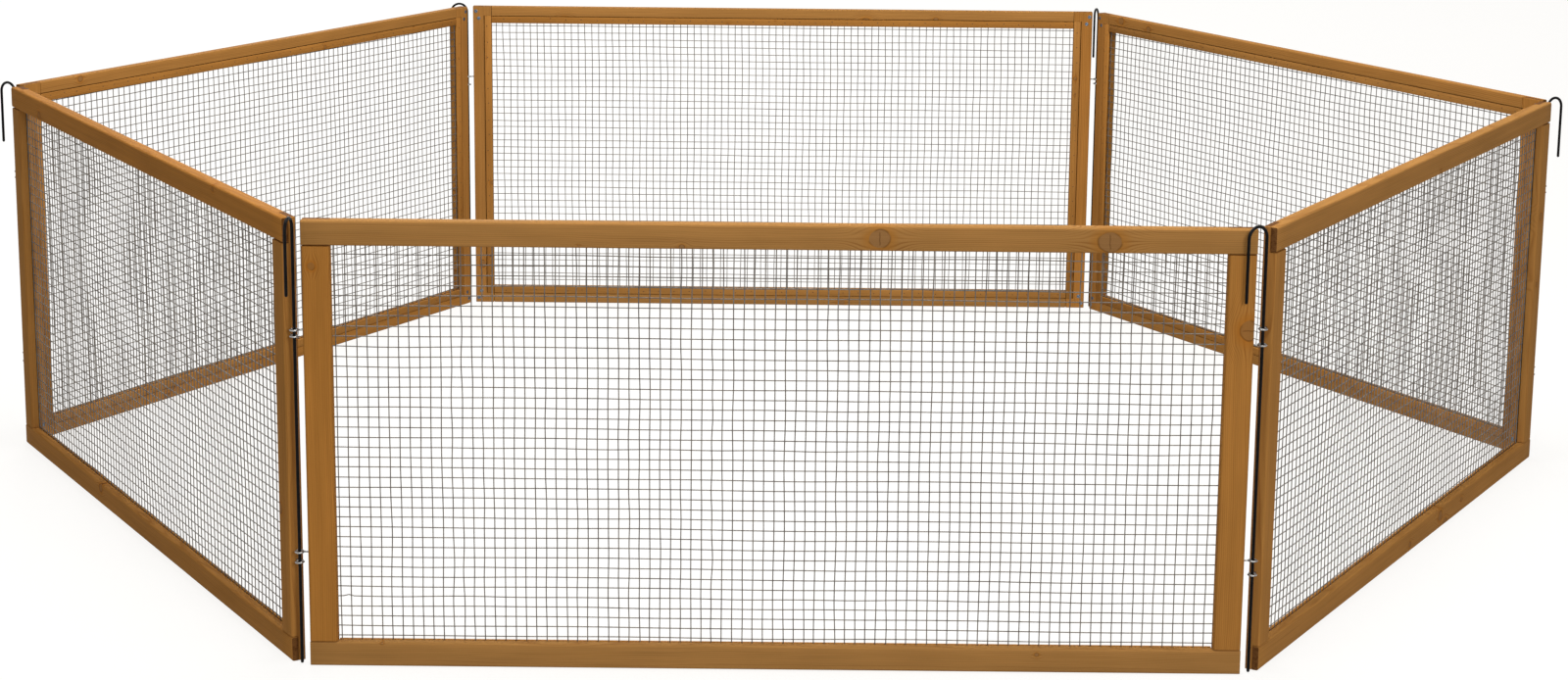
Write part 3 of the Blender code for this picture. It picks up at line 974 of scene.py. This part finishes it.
def eye_path(ring, shank_end):
    """A screw eye's wire in the plane of its ring, from the end of its shank at x = shank_end through a
    smooth bend (a cubic Bezier curve) and round the ring about the origin. Also gives where the bend
    starts, and how many points lie on the shank."""
    bend_start = ring + 3.2 * MM
    ring_start = math.radians(26)
    ring_end = math.radians(338)
    shank = np.linspace(shank_end, bend_start, 110)
    joint = ring * np.array((math.cos(ring_start), math.sin(ring_start)))
    run = np.array((-math.sin(ring_start), math.cos(ring_start)))
    handles = np.array(((bend_start, 0), (bend_start - 2 * MM, 0), joint - 1.4 * MM * run, joint))
    t = np.linspace(0, 1, 9)[1:-1, None]
    weights = ((1 - t) ** 3, 3 * t * (1 - t) ** 2, 3 * t**2 * (1 - t), t**3)
    bend = sum(weight * handle for weight, handle in zip(weights, handles))
    angle = np.linspace(ring_start, ring_end, 44)
    loop = ring * np.stack((np.cos(angle), np.sin(angle)), axis=1)
    flat = np.concatenate((np.stack((shank, 0 * shank), axis=1), bend, loop))

    # One point more at each end, where the wire closes
    tip = flat[:1] + (0.3 * MM, 0)
    last = flat[-1:] + (loop[-1:] - loop[-2:-1]) * 0.35
    return np.concatenate((tip, flat, last)), bend_start, len(shank)


class RABBITRUN_OT_screw_eyes(bpy.types.Operator):
    """Make the four screw eyes of each panel"""

    bl_idname = "rabbit_run.screw_eyes"
    bl_label = "Screw eyes"

    def execute(self, context):
        settings = context.scene.rabbit_run_fittings
        shank_end = SIDE_LENGTH / 2 - HALF_WIDTH + settings.eye_depth
        flat, bend_start, shank_rows = eye_path(settings.eye_ring, shank_end)
        along = flat[:, 0][:, None]
        is_shank = (np.arange(len(flat)) < shank_rows)[:, None]

        # The thread: a ridge that winds once round the shank for each pitch, dying out at the bend. The
        # shank tapers to a point.
        sides = 12
        around = np.linspace(0, math.tau, sides, endpoint=False)[None, :]
        turns = along / settings.thread_pitch - around / math.tau
        ridge = 1 - np.abs(2 * (turns % 1) - 1)
        on_shank = np.clip((along - bend_start) / (1.5 * MM), 0, 1) * is_shank
        taper = np.clip((shank_end - along) / (4 * MM), 0.12, 1)
        radius = settings.eye_wire / 2 * (1 - THREAD_DEPTH * on_shank * (1 - ridge))
        radius *= np.where(is_shank, taper, 1)
        radius[[0, -1]] = 0

        for number, panel in enumerate(PANELS):
            draws = np.random.default_rng([number, EYE_SEED])
            for side_name, side in SIDES.items():
                for level in ("lower", "upper"):
                    node = f"{panel}_panel_{side_name}_{level}_eye"
                    low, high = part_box(node)
                    tilt = math.radians(draws.uniform(-EYE_TILT, EYE_TILT))
                    normal = np.array((0, math.sin(tilt), math.cos(tilt)))
                    across_axis = np.array((0, math.cos(tilt), -math.sin(tilt)))
                    path = flat[:, 1][:, None] * across_axis
                    path[:, 0] = side * (SIDE_LENGTH / 2 - flat[:, 0])
                    path[:, 2] += (low.z + high.z) / 2
                    points = sweep(path, normal, radius, sides)
                    name = f"{panel}_{side_name}_{level}_screw_eye"
                    mesh = make_mesh(name, from_panel(points, panel), tube_faces(len(path), sides))
                    tidy_mesh(mesh)
                    make_piece(mesh, "zinc-plated steel", panel + "_panel", [node], smooth_below=60)
        return {"FINISHED"}


class RABBITRUN_OT_hooked_rods(bpy.types.Operator):
    """Make the six hooked rods"""

    bl_idname = "rabbit_run.hooked_rods"
    bl_label = "Hooked rods"

    def execute(self, context):
        settings = context.scene.rabbit_run_fittings
        radius = settings.rod_wire / 2
        legs = settings.rod_legs
        arc = legs / 2
        arc_base = ROD_TOP - radius - arc
        short_end = settings.rod_short_leg

        # Up the long leg, over the hook and down the short leg, with a rounded end on each leg. Outward
        # is away from the corner's axis, in which the long leg stands.
        rounding = np.linspace(0, math.pi / 2, 6)
        round_off = radius * (1 - np.cos(rounding))
        round_radius = radius * np.sin(rounding)
        up = np.concatenate((ROD_BOTTOM + round_off, np.linspace(50 * MM, arc_base, 12)))
        down = np.linspace(arc_base, short_end + 10 * MM, 5)[1:]
        down = np.concatenate((down, (short_end + round_off)[::-1]))
        angle = np.linspace(math.pi, 0, 33)[1:]
        outward = np.concatenate((0 * up, arc + arc * np.cos(angle), 0 * down + legs))
        height = np.concatenate((up, arc_base + arc * np.sin(angle), down))
        radii = np.full(len(height), radius)
        radii[: len(rounding)] = round_radius
        radii[-len(rounding) :] = round_radius[::-1]

        sides = 20
        for number, corner in enumerate(CORNERS):
            node = "rod_" + corner
            corner_angle = (number - 1) * TURN
            axis = SIDE_LENGTH * np.array((math.cos(corner_angle), math.sin(corner_angle)))
            low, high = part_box(node)
            toward = np.array(((low.x + high.x) / 2, (low.y + high.y) / 2)) - axis
            toward /= np.linalg.norm(toward)
            path = np.column_stack((axis + toward * outward[:, None], height))
            points = sweep(path, (-toward[1], toward[0], 0), radii, sides)
            mesh = make_mesh(corner + "_hooked_rod", points, tube_faces(len(path), sides))
            tidy_mesh(mesh)
            make_piece(mesh, "black painted steel", corner + "_rod", [node], smooth_below=60)
        return {"FINISHED"}


# Camera: where it stands, how far it looks down and is turned to the left, and how far it leans to the
# left, which turns the picture clockwise
CAMERA_PLACE = (0.004, -4.586, 1.2775)
CAMERA_PITCH = math.radians(12.05)
CAMERA_YAW = math.radians(-0.03)
CAMERA_ROLL = math.radians(0.575)
CAMERA_SHIFT = -0.05
SENSOR_WIDTH = 36.0

# Lamps: width, length, place and the point that each faces, in metres. The overhead lamp faces a
# point a millimetre off straight down, so that its length lies along Y.
RUN_MIDDLE = (0, 0, 0.3)
LAMPS = {
    "overhead": (1.6, 2.4, (0.1, -0.7, 3.8), (0.1, -0.699, 0)),
    "right": (2.5, 2.5, (2.8, -6.2, 3.0), RUN_MIDDLE),
    "left": (2.5, 2.5, (-4.2, -5.4, 3.0), RUN_MIDDLE),
    "front": (2.5, 2.5, (0.2, -6.0, 2.8), RUN_MIDDLE),
    "back": (2.5, 2.5, (-1.5, 6.5, 3.0), RUN_MIDDLE),
}

# Light from all round, and the floor's brightness: as it is seen, and as it lights the run from below
AMBIENT = 0.16
FLOOR_GLOW = 0.98
FLOOR_BOUNCE = 0.26
FLOOR_REACH = 30.0
FLOOR_DROP = 0.2 * MM


def seen_directly(tree):
    """1 for rays straight from the camera, and for reflections and refractions of them, else 0."""
    path = add_node(tree, "LightPath").node.outputs
    either = add_node(tree, "Math MAXIMUM", [path["Is Camera Ray"], path["Is Glossy Ray"]])
    return add_node(tree, "Math MAXIMUM", [either, path["Is Transmission Ray"]])


def white_paper(colour):
    """Matt white paper with a faint mottle: it shows almost white with soft shadows, and throws back
    less light than that."""
    made, tree, shader = new_material("matt white paper", 0.0, 0.9)
    place = add_node(tree, "TexCoord", output="Object")
    mottle = add_node(tree, "TexNoise", {"Vector": place, "Scale": 3.0, "Detail": 2.0})
    greys = {0: mottle, 6: linear("#636261"), 7: linear("#5f5e5d")}
    pale = add_node(tree, "Mix", greys, 2, data_type="RGBA")
    tree.links.new(pale, shader.inputs["Base Color"])
    glow = add_node(tree, "Emission", {"Color": colour, "Strength": FLOOR_GLOW})
    bounce = add_node(tree, "Emission", {"Strength": FLOOR_BOUNCE})
    chosen = add_node(tree, "MixShader", [seen_directly(tree), bounce, glow])
    both = add_node(tree, "AddShader", [shader.outputs[0], chosen])
    tree.links.new(both, tree.nodes["Material Output"].inputs["Surface"])
    return made


class RABBITRUN_OT_stage(bpy.types.Operator):
    """Make the floor, the lamps, the world and the camera"""

    bl_idname = "rabbit_run.stage"
    bl_label = "Stage"

    def execute(self, context):
        scene = context.scene
        settings = scene.rabbit_run_stage
        sides = ((-1, -1), (1, -1), (1, 1), (-1, 1))
        corners = [(x * FLOOR_REACH, y * FLOOR_REACH, -FLOOR_DROP) for x, y in sides]
        mesh = make_mesh("studio_floor", corners, [[0, 1, 2, 3]])
        mesh.materials.append(white_paper(settings.floor_colour))
        floor = bpy.data.objects.new("studio_floor", mesh)
        scene.collection.objects.link(floor)

        for name, (width, length, place, target) in LAMPS.items():
            lamp = bpy.data.lights.new(name + "_lamp", "AREA")
            lamp.energy = getattr(settings, name)
            lamp.shape = "RECTANGLE"
            lamp.size = width
            lamp.size_y = length
            made = bpy.data.objects.new(lamp.name, lamp)
            facing = (Vector(target) - Vector(place)).to_track_quat("-Z", "Y")
            made.matrix_world = Matrix.Translation(place) @ facing.to_matrix().to_4x4()
            scene.collection.objects.link(made)

        world = bpy.data.worlds.new("studio")
        world.use_nodes = True
        tree = world.node_tree
        background = tree.nodes["Background"]
        background.inputs["Color"].default_value = linear("#ffffff")
        light = [seen_directly(tree), 1 - AMBIENT, AMBIENT]
        strength = add_node(tree, "Math MULTIPLY_ADD", light)
        tree.links.new(strength, background.inputs["Strength"])
        scene.world = world
        scene.view_settings.view_transform = "Standard"

        camera = bpy.data.cameras.new("camera")
        camera.lens = settings.lens
        camera.sensor_width = SENSOR_WIDTH
        camera.sensor_fit = "HORIZONTAL"
        camera.shift_y = CAMERA_SHIFT
        made = bpy.data.objects.new("camera", camera)
        matrix = Matrix.Translation(CAMERA_PLACE)
        for angle, axis in ((CAMERA_YAW, "Z"), (math.pi / 2 - CAMERA_PITCH, "X"), (CAMERA_ROLL, "Z")):
            matrix = matrix @ Matrix.Rotation(angle, 4, axis)
        made.matrix_world = matrix
        scene.collection.objects.link(made)
        scene.camera = made
        return {"FINISHED"}


class RABBITRUN_PT_sidebar(bpy.types.Panel):
    """Lists the sizes, the colours and the operators"""

    bl_idname = "RABBITRUN_PT_sidebar"
    bl_label = "Rabbit run"
    bl_space_type = "VIEW_3D"
    bl_region_type = "UI"
    bl_category = "Rabbit run"

    def draw(self, context):
        layout = self.layout
        for name in SETTINGS:
            group = getattr(context.scene, name)
            box = layout.box()
            for prop in group.__annotations__:
                box.prop(group, prop)
        for operator in OPERATORS:
            layout.operator(operator.bl_idname)


SETTINGS = {
    "rabbit_run_wood": WoodSettings,
    "rabbit_run_mesh": MeshSettings,
    "rabbit_run_fittings": FittingSettings,
    "rabbit_run_stage": StageSettings,
}
OPERATORS = (
    RABBITRUN_OT_frame_boards,
    RABBITRUN_OT_battens,
    RABBITRUN_OT_wire_mesh,
    RABBITRUN_OT_batten_nails,
    RABBITRUN_OT_corner_screws,
    RABBITRUN_OT_screw_eyes,
    RABBITRUN_OT_hooked_rods,
    RABBITRUN_OT_stage,
)
CLASSES = (*SETTINGS.values(), *OPERATORS, RABBITRUN_PT_sidebar)


def register():
    """Registers the classes and hangs the settings on the scene."""
    for made in CLASSES:
        bpy.utils.register_class(made)
    for name, group in SETTINGS.items():
        setattr(bpy.types.Scene, name, bpy.props.PointerProperty(type=group))


def unregister():
    """Takes away what register added."""
    for name in SETTINGS:
        delattr(bpy.types.Scene, name)
    for made in reversed(CLASSES):
        bpy.utils.unregister_class(made)


def main():
    """Makes every piece and the stage."""
    register()
    bpy.ops.rabbit_run.frame_boards()
    bpy.ops.rabbit_run.battens()
    bpy.ops.rabbit_run.wire_mesh()
    bpy.ops.rabbit_run.batten_nails()
    bpy.ops.rabbit_run.corner_screws()
    bpy.ops.rabbit_run.screw_eyes()
    bpy.ops.rabbit_run.hooked_rods()
    bpy.ops.rabbit_run.stage()


if __name__ == "__main__":
    main()
